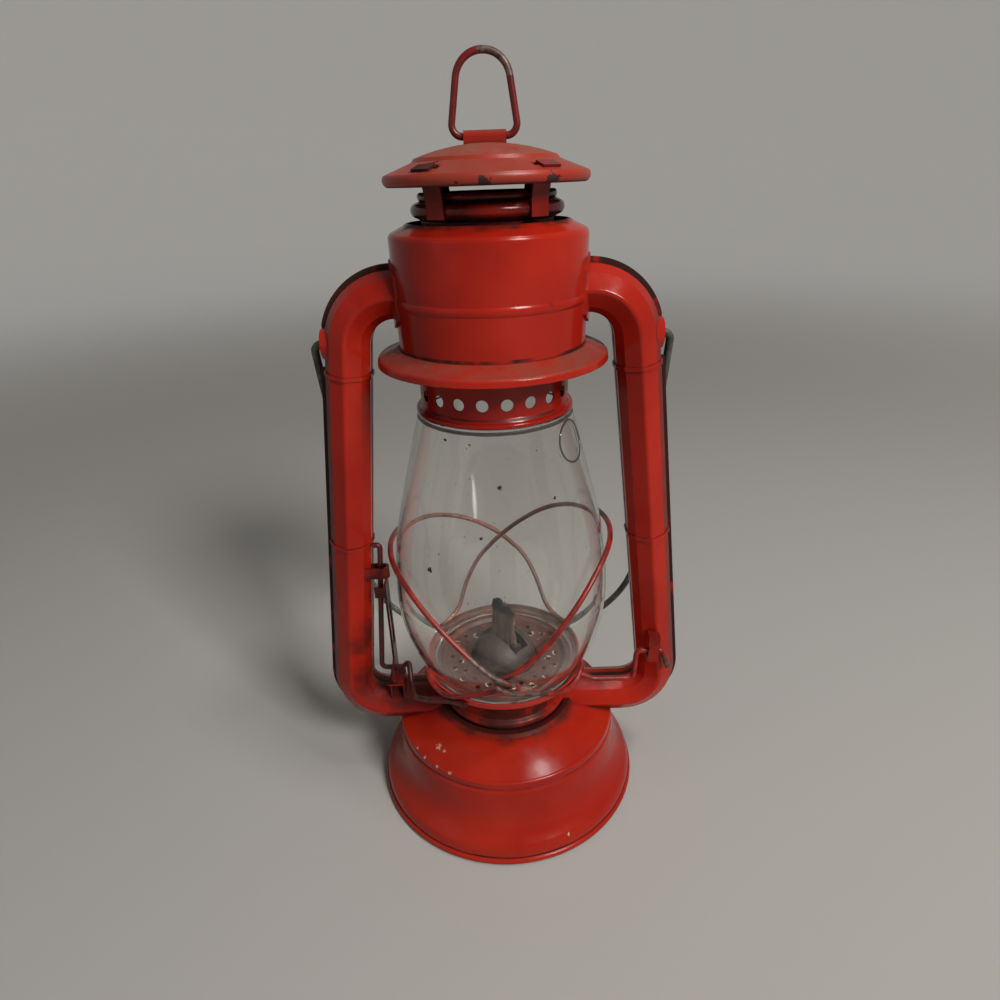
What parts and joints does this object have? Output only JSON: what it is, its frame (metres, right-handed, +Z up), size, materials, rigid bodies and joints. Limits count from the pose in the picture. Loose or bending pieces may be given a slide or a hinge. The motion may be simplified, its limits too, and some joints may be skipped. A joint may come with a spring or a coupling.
{
  "type": "kerosene lantern",
  "caption": "Small tubular kerosene lantern: flared tank, side air tubes, glass globe in a wire guard, flat-wick burner, sprung hood and carrying bail.",
  "frame": {"origin": "centre of the tank's foot on the bench", "axes": "+Z up, -Y towards the pictured front, +X to the viewer's right along the two air tubes"},
  "size_m": [0.1604, 0.1212, 0.3003],
  "materials": {
    "red_enamel": "glossy red enamel over steel, worn to dark metal along rims and creases",
    "cap_enamel": "glossy red enamel under a film of brown dust",
    "bare_steel": "bare dull wire and sheet, grey with age",
    "spring_steel": "oiled spring wire",
    "red_wire": "red paint over wire, worn through at the bends",
    "brass": "dull brass with soot",
    "globe_glass": "clear blown glass with a faint warm tint and fine scratches",
    "wick_cotton": "woven cotton, charred black at its top edge",
    "gasket_rubber": "black rubber"
  },
  "bodies": {
    "frame": {"tank_skirt": "red_enamel", "tank_bottom": "red_enamel", "tank_top": "red_enamel", "filler_neck": "red_enamel", "burner_collar": "brass", "wick_tube": "brass", "burner_body": "brass", "burner_cone": "brass", "side_tube_right": "red_enamel", "side_tube_left": "red_enamel", "air_chamber": "red_enamel", "canister": "red_enamel", "canister_brim": "red_enamel", "lever_shelf": "red_enamel", "crank_guide": "red_enamel", "arm_strap": "red_enamel", "spring_seat": "spring_steel", "hood_spring": "spring_steel"},
    "globe_carrier": {"globe_plate": "red_enamel", "globe_glass": "globe_glass", "guard_wire_left": "red_wire", "guard_wire_right": "red_wire", "lift_arm_right": "red_wire", "lift_crank_left": "red_wire"},
    "lever": {"lift_lever": "red_enamel"},
    "hood": {"perforated_collar": "red_enamel", "chimney": "red_enamel", "hood_cap": "cap_enamel", "cap_strap_1": "red_enamel", "cap_strap_2": "red_enamel", "cap_strap_3": "red_enamel", "cap_strap_4": "red_enamel", "ring_hinge": "cap_enamel"},
    "top_ring": {"lift_ring": "red_wire"},
    "bail": {"bail": "bare_steel"},
    "wick_raiser": {"wick_knob": "bare_steel", "wick_shaft": "bare_steel"},
    "wick": {"wick": "wick_cotton"},
    "cap_gasket": {"filler_gasket": "gasket_rubber"},
    "filler_cap": {"filler_cap": "cap_enamel"}
  },
  "joints": [
    {"name": "globe_lift", "type": "slide", "parent": "frame", "child": "globe_carrier", "axis": [0, 0, 1], "range_m": [0, 0.005]},
    {"name": "lever_swing", "type": "hinge", "parent": "globe_carrier", "child": "lever", "pos_m": [-0.0494, -0.0055, 0.0635], "axis": [1, 0, 0], "range_deg": [0, 85]},
    {"name": "hood_lift", "type": "slide", "parent": "globe_carrier", "child": "hood", "axis": [0, 0, 1], "range_m": [0, 0.009], "stiffness_N_per_m": 60, "springref_m": -0.01, "deforming": ["hood_spring"]},
    {"name": "ring_swing", "type": "hinge", "parent": "hood", "child": "top_ring", "pos_m": [0, 0, 0.2755], "axis": [1, 0, 0], "range_deg": [-95, 95]},
    {"name": "bail_swing", "type": "hinge", "parent": "frame", "child": "bail", "pos_m": [0, 0, 0.21], "axis": [1, 0, 0], "range_deg": [0, 327.2]},
    {"name": "knob_turn", "type": "hinge", "parent": "frame", "child": "wick_raiser", "pos_m": [0.00301, 0.00334, 0.054], "axis": [-0.7431, 0.6691, 0], "range_deg": [-327.5, 98.3]},
    {"name": "wick_rise", "type": "slide", "parent": "frame", "child": "wick", "axis": [0, 0, 1], "range_m": [-0.02, 0.006]},
    {"name": "cap_lift", "type": "slide", "parent": "frame", "child": "cap_gasket", "axis": [0.2408, 0.287, 0.9272], "range_m": [0, 0.005]},
    {"name": "cap_turn", "type": "hinge", "parent": "cap_gasket", "child": "filler_cap", "pos_m": [0.02597, 0.03095, 0.0402], "axis": [0.2408, 0.287, 0.9272], "range_deg": [0, 720.1]}
  ],
  "couplings": [
    {"joint": "lever_swing", "follows": "globe_lift", "rad_per_m": 296.7},
    {"joint": "knob_turn", "follows": "wick_rise", "rad_per_m": 285.71},
    {"joint": "cap_turn", "follows": "cap_lift", "rad_per_m": 2513.3}
  ]
}
